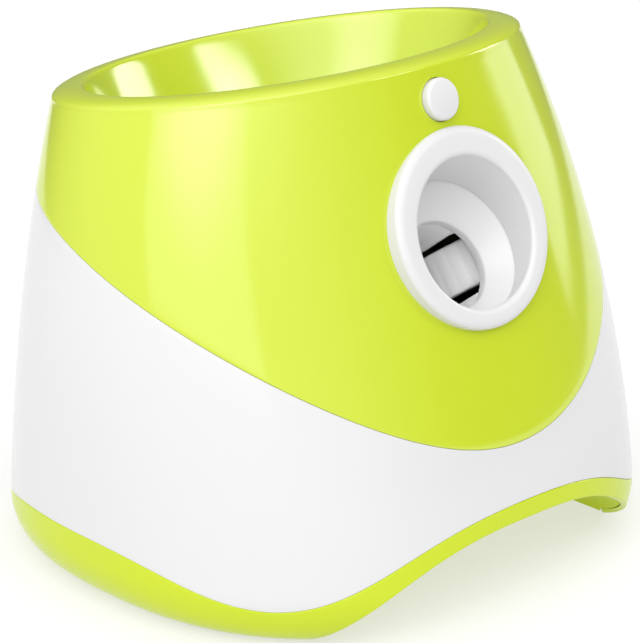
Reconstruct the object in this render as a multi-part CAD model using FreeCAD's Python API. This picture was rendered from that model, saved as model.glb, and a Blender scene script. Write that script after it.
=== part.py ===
import FreeCAD, Part
import os
from math import sin, cos, radians, pi, sqrt, atan2, hypot

# Automatic ball launcher for dogs. Millimetres, +Z up, front (outlet side) along -Y.
# Origin: centre of the footprint, on the surface that the rubber feet stand on.
os.makedirs("parts", exist_ok=True)
V = FreeCAD.Vector
Rot = FreeCAD.Rotation
Pl = FreeCAD.Placement

# ---------------------------------------------------------------- driving dimensions
HALF_W = 138.0          # half width of the body at its foot
HALF_D = 137.21         # half depth of the body at its foot
TOP_A = 115.83          # half width at the rim plane
TOP_B = 88.68           # half depth at the rim plane
BULGE_A, BULGE_A3 = 14.661, -1.582
BULGE_B, BULGE_B3 = 1.259, 2.315
HC = 219.80             # height of the rim plane's centre
TILT, TILT_P = 9.2359, 1.0937
YC1, YCK = 23.044, -5.114   # drift of the section centres towards the back
YO = -1.72              # puts the origin at the centre of the bounding box
N0, N1 = 2.3202, 2.0078     # superellipse exponents, foot and rim
FRONT_IN, SIDE_OUT = 4.412, 0.01682
ROUND_W, ROUND_H = 19.405, 23.63   # rounding of the bottom edge
BIB = [0.66121, -0.25423, -0.0727, -0.01408, -0.00473, -0.00163]
TRIM = [0.14499, -0.006, 0.03283, 0.00582, 0.04809, -0.01159, 0.00503, -0.00592, -0.00486, 0.00174, -0.00068]
ARCH_H, ARCH_W, ARCH_P, ARCH_Q = 0.1761, 47.5, 2.6191, 1.5726
WALL = 2.6              # shell thickness
SEAM = 0.08             # parting gap between shells
ROLL_W, ROLL_WI, ROLL_H = 13.0, 2.4, 3.9   # rim section: outer and inner half width, height
ROLL_END = 145.0        # angle where the rim's curve runs into the bowl
S_ROLL = 0.986
S_BOT = 0.0037          # height of the skid's underside
THROAT_Y, THROAT_Z, THROAT_R = 24.0, 134.0, 24.0
BOWL_SEAM = 0.44        # depth fraction where the rim shell ends and the funnel starts
BALL_R = 19.0
PITCH = 37.0            # launch angle
HOLE = V(0, -77.5, 143.8)   # centre of the ball hole
BORE_R, TUBE_R = 21.0, 23.2
WHEEL_X, WHEEL_T, WHEEL_R, WHEEL_W = 47.0, 35.0, 30.0, 21.6
WHEEL_U = 0.8           # middle of the tyre above the barrel's axis
PLATE_U = -15.2         # top of the launch unit's plate, measured across the barrel
RING_C = V(0, -91.81, 164.58)
RING_PITCH = 22.17
RING_RO, RING_RI, RING_P = 44.3, 33.4, 3.5
RING_DROP, RING_LIP_W, RING_LIP_D = 2.4, 2.6, 2.0   # hole set lower than the ring, with a soft edge
BTN_C = V(0, -71.8, 217.5)
BTN_PITCH = 19.7
BTN_R = 9.3
BTN_EDGE, BTN_TOP = 2.5, 4.3   # height of the cap's side and of its dome over the shell
ROTOR_Y, ROTOR_Z, ROTOR_R = -2.0, 76.0, 24.0
NT = 72                 # points round each section

TH = [2 * pi * i / NT for i in range(NT)]


# ---------------------------------------------------------------- body surface
def series(c, th):
    return sum(a * cos(k * th) for k, a in enumerate(c))


def s_arch(th):
    t = min(abs(((th + pi) % (2 * pi)) - pi), abs(((th) % (2 * pi)) - pi)) * 180 / pi / ARCH_W
    return ARCH_H * (1 - t ** ARCH_P) ** ARCH_Q if t < 1 else 0.0


def surf(s, th):
    """Point of the outer surface. s runs from the foot (0) to the rim plane (1); th = 0 is the front, 90 deg is +X."""
    s0 = max(s, 0.0)
    a = HALF_W + (TOP_A - HALF_W) * s + 4 * BULGE_A * s * (1 - s) + BULGE_A3 * 10 * s * (1 - s) * (1 - 2 * s)
    b = HALF_D + (TOP_B - HALF_D) * s + 4 * BULGE_B * s * (1 - s) + BULGE_B3 * 10 * s * (1 - s) * (1 - 2 * s)
    n = N0 + (N1 - N0) * s
    cu, sv = sin(th), -cos(th)
    rr = (abs(cu) ** n + abs(sv) ** n) ** (-1.0 / n)
    u, v = a * cu * rr, b * sv * rr
    t = radians(TILT) * s0 ** TILT_P
    x, y, z = u, YC1 * s + 4 * YCK * s * (1 - s) + v * cos(t), HC * s - v * sin(t)
    q = max(min((0.4 - s) / 0.4, 1.0), 0.0) ** 2
    y += FRONT_IN * q * max(cos(th), 0.0) ** 2
    x *= 1 + SIDE_OUT * q
    zz = HC * s
    if zz < ROUND_H:
        ins = ROUND_W * (1 - sqrt(max(1 - ((ROUND_H - zz) / ROUND_H) ** 2, 0.0)))
        k = 1 - ins / max(hypot(x, y), 1.0)
        x, y = x * k, y * k
    return V(x, y + YO, z)


def normal(s, th):
    h = 1e-3
    ds = surf(s + h, th) - surf(max(s - h, 0.0), th)
    dt = surf(s, th + h) - surf(s, th - h)
    n = dt.cross(ds)
    n.normalize()
    return n


def off(s, th, d):
    return surf(s, th) - normal(s, th) * d


def wire(pts):
    c = Part.BSplineCurve()
    c.interpolate(Points=pts, PeriodicFlag=True)
    return Part.Wire([c.toShape()])


def skin(groups):
    """Closed solid from groups of rings; neighbouring groups share their end ring, the last group closes on the first."""
    faces = []
    for rings, ruled in groups:
        faces += Part.makeLoft(rings, False, ruled).Faces
    sh = Part.Compound(faces)
    sewn = sh.copy()
    sewn.sewShape(0.01)
    shell = Part.Shell(sewn.Faces)
    sol = Part.Solid(shell)
    if sol.Volume < 0:
        sol.reverse()
    return sol


def ring(f):
    return wire([f(th) for th in TH])


def roll_frame(th):
    """Centre of the rolled rim's section and its outward and upward directions."""
    c = surf(S_ROLL, th)
    t = radians(TILT) * S_ROLL ** TILT_P
    m = V(0, sin(t), cos(t))
    n = normal(S_ROLL, th)
    e = n - m * n.dot(m)
    e.normalize()
    return c - e * ROLL_W, e, m


def roll(th, phi):
    c, e, m = roll_frame(th)
    w = ROLL_W if cos(phi) > 0 else ROLL_WI
    return c + e * (w * cos(phi)) + m * (ROLL_H * sin(phi))


def roll_under(th, phi):
    c, e, m = roll_frame(th)
    w = ROLL_W - WALL - 3.0
    return c + e * (3.0 + w * cos(phi)) + m * ((ROLL_H - WALL) * sin(phi))


def bowl(th, h, d=0.0):
    """Point of the bowl's inner wall at depth fraction h; d moves it into the wall."""
    def p(th, h):
        q = radians(ROLL_END)
        c, eo, m = roll_frame(th)
        e = roll(th, q)
        a = atan2(e.x, -(e.y - THROAT_Y))
        t = V(THROAT_R * sin(a), THROAT_Y - THROAT_R * cos(a), THROAT_Z)
        dt = m * (ROLL_H * cos(q)) - eo * (ROLL_WI * sin(q))
        k = (e.z - t.z) / hypot(t.x - e.x, t.y - e.y) * (dt.y * cos(a) - dt.x * sin(a)) / abs(dt.z)
        g = k * h + (1 - k) * h ** 3
        return V(e.x + (t.x - e.x) * g, e.y + (t.y - e.y) * g, e.z + (t.z - e.z) * h)
    q = p(th, h)
    if d == 0:
        return q
    dh = 0.004
    ds = p(th, min(h + dh, 1.0)) - p(th, max(h - dh, 0.0))
    dt = p(th + 1e-3, h) - p(th - 1e-3, h)
    n = dt.cross(ds)
    n.normalize()
    r = V(q.x, q.y - THROAT_Y, 0)
    if n.dot(r) < 0 and abs(n.z) < 0.98:
        n = n * -1
    if n.z > 0 and abs(n.z) >= 0.98:
        n = n * -1
    return q + n * d


def cyl(c, ax, r, h, back=0.0):
    ax = V(ax)
    ax.normalize()
    return Part.makeCylinder(r, h + back, c - ax * back, ax)


def box(x0, x1, y0, y1, z0, z1):
    return Part.makeBox(x1 - x0, y1 - y0, z1 - z0, V(x0, y0, z0))


OUT = {}


def put(name, sh):
    sh = sh.removeSplitter() if sh.ShapeType != "Compound" else sh
    OUT[name] = sh


# launch frame: x right, t into the body along the barrel, u up across the barrel
LP = Pl(HOLE, Rot(V(1, 0, 0), -PITCH))


def L(sh):
    sh = sh.copy()
    sh.Placement = LP.multiply(sh.Placement)
    return sh


def LV(x, t, u):
    return LP.multVec(V(x, t, u))


CP, SP = cos(radians(PITCH)), sin(radians(PITCH))
AX_OUT = V(0, -CP, SP)
AX_UP = V(0, SP, CP)
rp = radians(RING_PITCH)
RN, RE = V(0, -cos(rp), sin(rp)), V(0, sin(rp), cos(rp))
bp = radians(BTN_PITCH)
BN = V(0, -cos(bp), sin(bp))

# ---------------------------------------------------------------- solid cores used for trimming
def core_s(d, ss, ruled=False):
    return Part.makeLoft([ring(lambda th, s=s: off(s, th, d)) for s in ss], True, ruled)


def core(d, s0, s1, n):
    return core_s(d, [s0 + (s1 - s0) * k / (n - 1.0) for k in range(n)])


core_out = core(0.0, 0.28, 0.985, 8)
ci = [ring(lambda th, s=s: off(s, th, WALL + 0.25)) for s in (S_BOT, 0.012, 0.025, 0.045, 0.07, 0.10, 0.15, 0.22, 0.32)]
ci0 = ring(lambda th: V(off(S_BOT, th, WALL + 0.25).x, off(S_BOT, th, WALL + 0.25).y, 1.0))
core_in = Part.makeLoft([ci0] + ci, True, True)
wall_core = core(WALL - 0.4, 0.10, 0.62, 6)

# ---------------------------------------------------------------- upper shell: bib, rolled rim and upper bowl
g = SEAM / HC / 2


def up_rings(d):
    r = []
    for k in range(7):
        r.append(ring(lambda th, k=k: off((series(BIB, th) + g) + (S_ROLL - series(BIB, th) - g) * k / 6.0, th, d)))
    return r


def roll_rings():
    return [ring(lambda th, p=p: roll(th, radians(p))) for p in (0, 15, 35, 60, 90, 108, 126, ROLL_END)]


def under_rings():
    return [ring(lambda th, p=p: roll_under(th, radians(p))) for p in (0, 30, 60, 90)]


HS = [0.0, 0.14, 0.28, BOWL_SEAM]


def bowl_rings(hs, d):
    return [ring(lambda th, h=h: bowl(th, h, d)) for h in hs]


A, Bq = up_rings(0), up_rings(WALL)
Ra, Rb = roll_rings(), under_rings()
Ca, Cb = bowl_rings(HS, 0), bowl_rings(HS, WALL)
A[-1], Bq[-1] = Ra[0], Rb[0]
Ca[0] = Ra[-1]
upper = skin([(A, False), (Ra, False), (Ca, False), ([Ca[-1], Cb[-1]], True), (Cb[::-1], False), ([Cb[0], Rb[-1]], True), (Rb[::-1], False), (Bq[::-1], False), ([Bq[0], A[0]], True)])
print("upper raw", upper.isValid(), upper.Volume)
RING_HOLE = cyl(RING_C, RN, 41.3, 20, 13.5)
upper = upper.cut(RING_HOLE)
upper = upper.cut(cyl(BTN_C, BN, BTN_R + 0.35, 10, 9))
put("upper_shell", upper)

# ---------------------------------------------------------------- hopper funnel with its throat tube
HF = [BOWL_SEAM + 0.003, 0.56, 0.68, 0.78, 0.87, 0.93, 0.97, 1.0]
Fa = bowl_rings(HF, 0)
Fb = bowl_rings(HF[:-2], WALL)


def circ(r, z):
    return ring(lambda th: V(r * sin(th), THROAT_Y - r * cos(th), z))


def circ_a(r, z):
    def f(th):
        e = roll(th, radians(ROLL_END))
        a = atan2(e.x, -(e.y - THROAT_Y))
        return V(r * sin(a), THROAT_Y - r * cos(a), z)
    return ring(f)


T0, T1 = circ_a(THROAT_R, THROAT_Z - 16), circ_a(THROAT_R + WALL, THROAT_Z - 16)
T2 = circ_a(THROAT_R + WALL, THROAT_Z - 3.4)
T3 = circ_a(THROAT_R + WALL + 3.5, THROAT_Z - 2.4)
funnel = skin([(Fa, False), ([Fa[-1], T0], True), ([T0, T1], True), ([T1, T2], True), ([T2, T3], True), ([T3, Fb[-1]], True), (Fb[::-1], False), ([Fb[0], Fa[0]], True)])
put("hopper_funnel", funnel)

# ---------------------------------------------------------------- lower shell
def between(f0, f1, n, d):
    return [ring(lambda th, k=k: off(f0(th) + (f1(th) - f0(th)) * k / (n - 1.0), th, d)) for k in range(n)]


lo = lambda th: series(TRIM, th) + g
hi = lambda th: series(BIB, th) - g
a0, a1 = between(lo, hi, 7, 0), between(lo, hi, 7, WALL)
lower = skin([(a0, False), ([a0[-1], a1[-1]], True), (a1[::-1], False), ([a1[0], a0[0]], True)])
BOSS = [(sx * 116.0, sy * 42.0) for sx in (-1, 1) for sy in (-1, 1)]
for x, y in BOSS:
    b = cyl(V(x, y, 38.3), V(0, 0, 1), 5.0, 40)
    rib = box(min(x, x + 24 * (1 if x > 0 else -1)), max(x, x + 24 * (1 if x > 0 else -1)), y - 1.2, y + 1.2, 42, 74)
    b = b.fuse(rib).common(wall_core).cut(cyl(V(x, y, 38), V(0, 0, 1), 1.7, 30))
    lower = lower.fuse(b)
JX, JZ = 48.0, 93.0
jack_hole = cyl(V(JX, 100, JZ), V(0, 1, 0), 6.6, 50)
lower = lower.cut(jack_hole)
# circuit board posts on the left wall
for y in (-30, 34):
    for z in (74, 116):
        post = cyl(V(-104.0, y, z), V(-1, 0, 0), 3.6, 40).common(wall_core)
        lower = lower.fuse(post.cut(cyl(V(-103, y, z), V(-1, 0, 0), 1.1, 13)))
put("lower_shell", lower)

# ---------------------------------------------------------------- base trim band with its front and back arches
lo = lambda th: max(S_BOT, s_arch(th))
hi = lambda th: series(TRIM, th) - g
b0, b1 = between(lo, hi, 7, 0), between(lo, hi, 7, WALL)
put("base_trim", skin([(b0, False), ([b0[-1], b1[-1]], True), (b1[::-1], False), ([b1[0], b0[0]], True)]))

# ---------------------------------------------------------------- arched base plate
prof = []
for k in range(0, 13):
    th = radians(44.0 * k / 12)
    p = surf(max(s_arch(th), 0), th)
    prof.append((p.x, p.z + 0.5))
prof = [q for q in prof if q[1] > 5.2]
FX, FZ = prof[-1][0] + 3.0, 2.0
pts = [V(-FX, 0, FZ)] + [V(-x, 0, z) for x, z in prof[::-1][:-1]] + [V(x, 0, z) for x, z in prof] + [V(FX, 0, FZ)]


def arch_band(z_add0, z_add1, x_lim=None):
    def curve(dz):
        c = Part.BSplineCurve()
        c.interpolate([V(p.x, -140, p.z + dz) for p in pts])
        return c.toShape()
    c0, c1 = curve(z_add0), curve(z_add1)
    e = Part.Wire([c0, Part.makeLine(V(FX, -140, FZ + z_add0), V(FX, -140, FZ + z_add1)), c1, Part.makeLine(V(-FX, -140, FZ + z_add1), V(-FX, -140, FZ + z_add0))])
    s = Part.Face(e).extrude(V(0, 280, 0))
    return s if x_lim is None else s


band = arch_band(0, 2.6)
base = band.fuse([box(FX - 0.01, 145, -140, 140, FZ, FZ + 2.6), box(-145, -FX + 0.01, -140, 140, FZ, FZ + 2.6)])
base = base.common(core_in)
# columns under the case screws, mechanism legs' seats
for x, y in BOSS:
    base = base.fuse(cyl(V(x, y, FZ), V(0, 0, 1), 6.0, 38.0 - FZ).common(core_in))
    base = base.cut(cyl(V(x, y, 0), V(0, 0, 1), 2.3, 60)).cut(cyl(V(x, y, 0), V(0, 0, 1), 4.6, FZ + 8))
# battery bay opening with a ledge for the door
DX, DY0, DY1 = 46.0, 38.0, 108.0
base = base.cut(box(-DX, DX, DY0, DY1, 20, 60))
ledge = arch_band(1.6, 2.6)
ledge = ledge.common(box(-DX, DX, DY0, DY1, 20, 60)).cut(box(-DX + 3, DX - 3, DY0 + 3, DY1 - 3, 20, 60))
base = base.fuse(ledge)
put("base_plate", base)

door = arch_band(0.1, 1.3).common(box(-DX + 0.4, DX - 0.4, DY0 + 0.4, DY1 - 0.4, 20, 60))
inner_rib = arch_band(1.3, 4.2).common(box(-DX + 3.5, DX - 3.5, DY0 + 3.5, DY1 - 3.5, 20, 60)).cut(box(-DX + 5.3, DX - 5.3, DY0 + 5.3, DY1 - 5.3, 20, 60))
door = door.fuse(inner_rib)
for k in range(5):
    door = door.cut(box(-11, 11, DY1 - 20 + 3 * k, DY1 - 18.6 + 3 * k, 43.0, 44.1))
put("battery_door", door)

# ---------------------------------------------------------------- rubber feet
feet = []
for sx in (-1, 1):
    for sy in (-1, 1):
        c = V(sx * 107.0, sy * 50.0, 0)
        f = Part.makeCylinder(7.0, FZ, c)
        f = f.makeFillet(0.8, [f.Edges[i] for i in range(len(f.Edges)) if abs(f.Edges[i].BoundBox.ZMax) < 1e-6 and abs(f.Edges[i].BoundBox.ZMin) < 1e-6])
        feet.append(f)
OUT["rubber_feet"] = Part.makeCompound(feet)

# ---------------------------------------------------------------- outlet bezel: raised ring and tapered cup
def circle_wire(c, n, r):
    return Part.Wire([Part.Edge(Part.Circle(c, n, r))])


RING_FW, RING_FH = 4.2, 2.9    # width and height of the ring's rounded outer edge
prof_ring = [(36.6, -9.0), (36.6, RING_P - 2.6), (28.0, RING_P - 2.6), (28.0, RING_P), (RING_RO - RING_FW, RING_P), (RING_RO, RING_P - RING_FH), (RING_RO, -9.0)]


def rp3(r, a):
    return RING_C + RE * r + RN * a


e = [Part.makeLine(rp3(*prof_ring[i]), rp3(*prof_ring[i + 1])) for i in range(4)]
edge_r = Part.BSplineCurve()
edge_r.interpolate([rp3(RING_RO - RING_FW + RING_FW * sin(radians(15.0 * k)), RING_P - RING_FH + RING_FH * cos(radians(15.0 * k))) for k in range(7)])
e.append(edge_r.toShape())
e.append(Part.makeLine(rp3(*prof_ring[5]), rp3(*prof_ring[6])))
e.append(Part.makeLine(rp3(*prof_ring[6]), rp3(*prof_ring[0])))
flange = Part.Face(Part.Wire(e)).revolve(RING_C, RN, 360)
keep = core_out.cut(cyl(RING_C, RN, 41.05, 40, 40))
flange = flange.cut(keep)
LIPC = LV(0, -9.6, 3.9)
HC_ = RING_C - RE * RING_DROP
LIP_A = RING_P - RING_LIP_D
cup_o = Part.makeLoft([circle_wire(HC_ + RN * (RING_P - 1.4), RN, 36.0), circle_wire(LIPC, AX_OUT, 34.5)], True, True)
cup_i = Part.makeLoft([circle_wire(HC_ + RN * LIP_A, RN, RING_RI), circle_wire(LIPC, AX_OUT, 32.1)], True, True)


def hp3(r, a):
    return HC_ + RE * r + RN * a


lip = Part.BSplineCurve()
lip.interpolate([hp3(RING_RI + RING_LIP_W * (1 - cos(radians(15.0 * k))), LIP_A + RING_LIP_D * sin(radians(15.0 * k))) for k in range(7)])
le = [lip.toShape()]
lq = [hp3(RING_RI + RING_LIP_W, RING_P), hp3(RING_RI + RING_LIP_W, RING_P + 3), hp3(0, RING_P + 3), hp3(0, LIP_A), hp3(RING_RI, LIP_A)]
le += [Part.makeLine(lq[k], lq[k + 1]) for k in range(4)]
mouth = Part.Face(Part.Wire(le)).revolve(HC_, RN, 360)
bez = flange.fuse(cup_o.cut(cyl(RING_C + RN * (RING_P - 0.1), RN, 60, 20)))
bez = bez.cut(cup_i).cut(mouth)
half = Part.makeBox(200, 60, 200, V(-100, -9.6, -100))
bez = bez.cut(L(half))
put("outlet_bezel", bez)

# ---------------------------------------------------------------- barrel nozzle (conical mouth round the ball hole)
def lw(t, u, r):
    return circle_wire(LV(0, t, u), AX_OUT, r)


noz_o = Part.makeLoft([lw(-9.4, 3.9, 34.4), lw(0.0, 0.0, 25.6)], True, True).fuse(Part.makeCylinder(25.6, 4.0, LV(0, 0, 0), AX_OUT * -1))
noz_i = Part.makeLoft([lw(-9.9, 4.1, 32.46), lw(0.0, 0.0, 20.9)], True, True).fuse(Part.makeCylinder(20.9, 6.0, LV(0, 0, 0), AX_OUT * -1))
put("barrel_nozzle", noz_o.cut(noz_i))

# ---------------------------------------------------------------- launch barrel in two halves, with wheel slots
T_A, T_B = 4.3, 68.0
tube = Part.makeCylinder(TUBE_R, T_B - T_A, V(0, T_A, 0), V(0, 1, 0)).cut(Part.makeCylinder(BORE_R, T_B, V(0, 0, 0), V(0, 1, 0)))
SL0, SL1, SLU = WHEEL_T - WHEEL_R - 1.2, WHEEL_T + WHEEL_R + 1.2, 14.0
slots = Part.makeBox(100, SL1 - SL0, SLU - PLATE_U, V(14.5, SL0, PLATE_U)).fuse(Part.makeBox(100, SL1 - SL0, SLU - PLATE_U, V(-114.5, SL0, PLATE_U)))
tube = tube.cut(slots)
up_h = tube.common(Part.makeBox(80, 100, 40, V(-40, 0, 0.0)))
dn_h = tube.common(Part.makeBox(80, 100, 40, V(-40, 0, -40)))
# upper half: a bridge over the wheels, with a rear collar cut away for the incoming ball
up_h = tube.common(Part.makeBox(80, 58 - T_A, 40, V(-40, T_A, 13.0)))
lug = Part.makeBox(60, 5, 4, V(-30, T_A, 14.0)).cut(Part.makeCylinder(BORE_R, 100, V(0, 0, 0), V(0, 1, 0)))
up_h = up_h.fuse(lug)
plat = Part.makeBox(156, 64, 3, V(-78, T_A, PLATE_U - 3)).cut(Part.makeCylinder(BORE_R, 100, V(0, 0, 0), V(0, 1, 0)))
plat = plat.cut(Part.makeBox(60, 20, 10, V(-30, 60, PLATE_U - 6)))
dn_h = dn_h.fuse(plat)
for sx in (-1, 1):
    post = Part.makeBox(5, 5, 17 - PLATE_U, V(sx * 27.5 - 2.5, T_A, PLATE_U - 3))
    dn_h = dn_h.fuse(post)
    dn_h = dn_h.cut(Part.makeCylinder(1.2, 12, V(sx * 27.5, T_A + 2.5, 3), V(0, 0, 1)))
    up_h = up_h.cut(Part.makeCylinder(1.5, 12, V(sx * 27.5, T_A + 2.5, 12), V(0, 0, 1)))
    dn_h = dn_h.cut(Part.makeCylinder(5.3, 10, V(sx * WHEEL_X, WHEEL_T, PLATE_U - 6), V(0, 0, 1)))
    for dt in (-8, 8):
        dn_h = dn_h.cut(Part.makeCylinder(1.4, 10, V(sx * WHEEL_X, WHEEL_T + dt, PLATE_U - 6), V(0, 0, 1)))
put("barrel_lower", L(dn_h))
put("barrel_bridge", L(up_h))
scr = []
for sx in (-1, 1):
    s = Part.makeCylinder(2.6, 1.8, V(sx * 27.5, T_A + 2.5, 18.0), V(0, 0, 1)).fuse(Part.makeCylinder(1.2, 12, V(sx * 27.5, T_A + 2.5, 6.0), V(0, 0, 1)))
    s = s.cut(Part.makeBox(4, 0.8, 1, V(sx * 27.5 - 2, T_A + 2.1, 19.0)))
    scr.append(L(s))
OUT["bridge_screws"] = Part.makeCompound(scr)

# ---------------------------------------------------------------- launch wheels, shafts and motors
for side, sx in (("left", -1), ("right", 1)):
    c = V(sx * WHEEL_X, WHEEL_T, 0)
    tyre = Part.makeCylinder(WHEEL_R, WHEEL_W, c + V(0, 0, WHEEL_U - WHEEL_W / 2)).cut(Part.makeCylinder(25.0, WHEEL_W + 2, c + V(0, 0, WHEEL_U - WHEEL_W / 2 - 1)))
    tyre = tyre.makeFillet(1.2, [ed for ed in tyre.Edges if abs(ed.BoundBox.XLength - 2 * WHEEL_R) < 0.5])
    put("wheel_tyre_" + side, L(tyre))
    hub = Part.makeCylinder(25.0, 20, c - V(0, 0, 10)).cut(Part.makeCylinder(22.5, 30, c - V(0, 0, 15)))
    hub = hub.fuse(Part.makeCylinder(23.0, 2.4, c - V(0, 0, 1.2))).fuse(Part.makeCylinder(5.5, 18, c - V(0, 0, 9)))
    for k in range(6):
        a = radians(60 * k + 30)
        hub = hub.cut(Part.makeCylinder(4.6, 10, c + V(14.2 * cos(a), 14.2 * sin(a), -5)))
    hub = hub.cut(Part.makeCylinder(1.6, 40, c - V(0, 0, 20)))
    put("wheel_hub_" + side, L(hub))
    shaft = Part.makeCylinder(1.6, 34, c - V(0, 0, 26))
    put("wheel_shaft_" + side, L(shaft))
    cm = c + V(0, 0, PLATE_U + 14.0)
    can = Part.makeCylinder(13.9, 38, cm - V(0, 0, 55.2)).fuse(Part.makeCylinder(5.0, 2.6, cm - V(0, 0, 17.2)))
    can = can.fuse(Part.makeCylinder(10.0, 2.0, cm - V(0, 0, 57.2)))
    can = can.cut(Part.makeCylinder(1.66, 20, c - V(0, 0, 26.4)))
    for a in (-1, 1):
        can = can.fuse(Part.makeBox(1.0, 3.2, 6.0, cm + V(a * 6.5 - 0.5, -1.6, -63.0)))
    for dt in (-8, 8):
        can = can.cut(Part.makeCylinder(1.2, 8, cm + V(0, dt, -21.4)))
    put("launch_motor_" + side, L(can))
scr = []
for sx in (-1, 1):
    for dt in (-8, 8):
        c = V(sx * WHEEL_X, WHEEL_T + dt, PLATE_U + 14.0)
        s = Part.makeCylinder(2.3, 1.4, c - V(0, 0, 14.0)).fuse(Part.makeCylinder(1.2, 6.5, c - V(0, 0, 20.4)))
        s = s.cut(Part.makeBox(3.6, 0.7, 0.6, c + V(-1.8, -0.35, -13.2)))
        scr.append(L(s))
OUT["motor_screws"] = Part.makeCompound(scr)

# ---------------------------------------------------------------- legs that carry the launch unit on the base plate
base_top = arch_band(2.6, 200)
under = L(Part.makeBox(400, 400, 400, V(-200, -200, PLATE_U - 3 - 400)))
legs = []
for x, t in ((70.0, 12.0), (70.0, 58.0), (-70.0, 12.0), (-70.0, 58.0)):
    q = LV(x, t, PLATE_U - 3)
    leg = Part.makeCylinder(5.0, 200, V(x, q.y, 5)).cut(Part.makeCylinder(2.2, 220, V(x, q.y, 0)))
    legs.append(leg)
q0, q1 = LV(70, 12, PLATE_U - 3).y, LV(70, 58, PLATE_U - 3).y
frame = legs[0].fuse(legs[1:])
for sx in (-1, 1):
    frame = frame.fuse(box(sx * 70 - 1.5, sx * 70 + 1.5, q0 + 3, q1 - 3, 40, 56))
frame = frame.common(base_top).common(under)
put("mechanism_leg_left", frame.common(box(-200, 0, -200, 200, 0, 300)))
put("mechanism_leg_right", frame.common(box(0, 200, -200, 200, 0, 300)))

# ---------------------------------------------------------------- feed chute below the throat
CA, CB = V(0, -40.0, 112.0 - 64.0 * 0.162), V(0, 49.0, 112.0 + 25.0 * 0.162)
cd = CB - CA
clen = cd.Length
cd.normalize()
cu_ = V(0, -cd.z, cd.y)
chute = Part.makeCylinder(TUBE_R + 0.2, clen + 2.4, CA, cd).cut(Part.makeCylinder(BORE_R, clen, CA, cd))
hb = Part.makeBox(80, 200, 60, V(-40, -100, -60))
hb.Placement = Pl(V(0, 24, 112) + cu_ * 4.0, Rot(V(1, 0, 0), atan2(cd.z, cd.y) * 180 / pi))
chute = chute.common(hb).cut(box(-60, 60, -60, 80, 117.4, 160))
chute = chute.cut(L(Part.makeBox(200, 300, 300, V(-100, T_B + 0.5 - 300, -150))))
chute = chute.cut(box(-5.5, 5.5, -60, 26, 60, 112))
for sx in (-1, 1):
    chute = chute.fuse(Part.makeCylinder(4.5, 70, V(sx * 13.0, 25.2, 40)).cut(Part.makeCylinder(BORE_R, clen, CA, cd)).common(Part.makeBox(100, 100, 64, V(-50, -20, 38))).common(base_top))
for sx in (-1, 1):
    chute = chute.fuse(cyl(V(sx * 20.6, 16, 107), V(sx, 0, 0), 4.2, 8.0).cut(Part.makeCylinder(BORE_R, clen, CA, cd)))
    chute = chute.cut(cyl(V(sx * 12.0, 16, 107), V(sx, 0, 0), 2.6, 30))
put("feed_chute", chute)
for n_, sx in (("ball_sensor_emitter", -1), ("ball_sensor_receiver", 1)):
    d_ = cyl(V(sx * 23.5, 16, 107), V(sx, 0, 0), 2.55, 7.0).fuse(Part.makeSphere(2.55, V(sx * 23.5, 16, 107)))
    d_ = d_.fuse(cyl(V(sx * 30.5, 16, 107), V(sx, 0, 0), 3.0, 1.2))
    for dy in (-1.27, 1.27):
        d_ = d_.fuse(cyl(V(sx * 31.5, 16 + dy, 107), V(sx, 0, 0), 0.35, 6.0))
    put(n_, d_)

# ---------------------------------------------------------------- feed rotor that lets one ball through at a time
RC = V(0, ROTOR_Y, ROTOR_Z)
rot = cyl(RC - V(4, 0, 0), V(1, 0, 0), 7.0, 8.0)
for k in range(3):
    a = radians(90 + 120 * k)
    dvec = V(0, cos(a), sin(a))
    arm = Part.makeBox(8.0, 6.0, ROTOR_R - 3.0, V(-4, -3, 0)).fuse(cyl(V(-4, 0, ROTOR_R - 3.0), V(1, 0, 0), 3.0, 8.0))
    arm.Placement = Pl(RC, Rot(V(1, 0, 0), 120 * k))
    rot = rot.fuse(arm)
rot = rot.cut(cyl(RC - V(6, 0, 0), V(1, 0, 0), 2.0, 14))
put("feed_rotor", rot)
put("feed_shaft", cyl(RC - V(11.5, 0, 0), V(1, 0, 0), 2.0, 29.0))
brk = box(-10.5, 10.5, ROTOR_Y - 13, ROTOR_Y + 13, 47.0, 50.0)
for x0 in (-10.5, 7.5):
    brk = brk.fuse(box(x0, x0 + 3.0, ROTOR_Y - 13, ROTOR_Y + 13, 47.0, 83.0))
brk = brk.cut(cyl(RC + V(5, 0, 0), V(1, 0, 0), 4.2, 10)).cut(cyl(RC - V(15, 0, 0), V(1, 0, 0), 4.0, 10))
seat = box(-10.5, 10.5, ROTOR_Y - 13, ROTOR_Y + 13, 40.0, 47.0).common(base_top)
brk = brk.fuse(seat)
rotor_sweep = cyl(RC - V(4.6, 0, 0), V(1, 0, 0), ROTOR_R + 0.6, 9.2)
brk = brk.cut(rotor_sweep)
put("feed_bracket", brk)
put("feed_bush", cyl(RC - V(11.0, 0, 0), V(1, 0, 0), 4.0, 3.8).cut(cyl(RC - V(12.0, 0, 0), V(1, 0, 0), 2.05, 6)))
gb = box(10.6, 30.0, ROTOR_Y - 13, ROTOR_Y + 13, 62.0, 84.0)
gb = gb.makeFillet(1.5, [ed for ed in gb.Edges if ed.BoundBox.XLength > 15])
gb = gb.fuse(cyl(RC + V(8.2, 0, 0), V(1, 0, 0), 4.1, 2.6)).cut(cyl(RC + V(5, 0, 0), V(1, 0, 0), 2.06, 13.2))
put("feed_gearbox", gb)
fm = cyl(V(30.0, ROTOR_Y, 73.0), V(1, 0, 0), 9.5, 24.0).fuse(cyl(V(54.0, ROTOR_Y, 73.0), V(1, 0, 0), 5.0, 2.0))
put("feed_motor", fm)
scr = []
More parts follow.
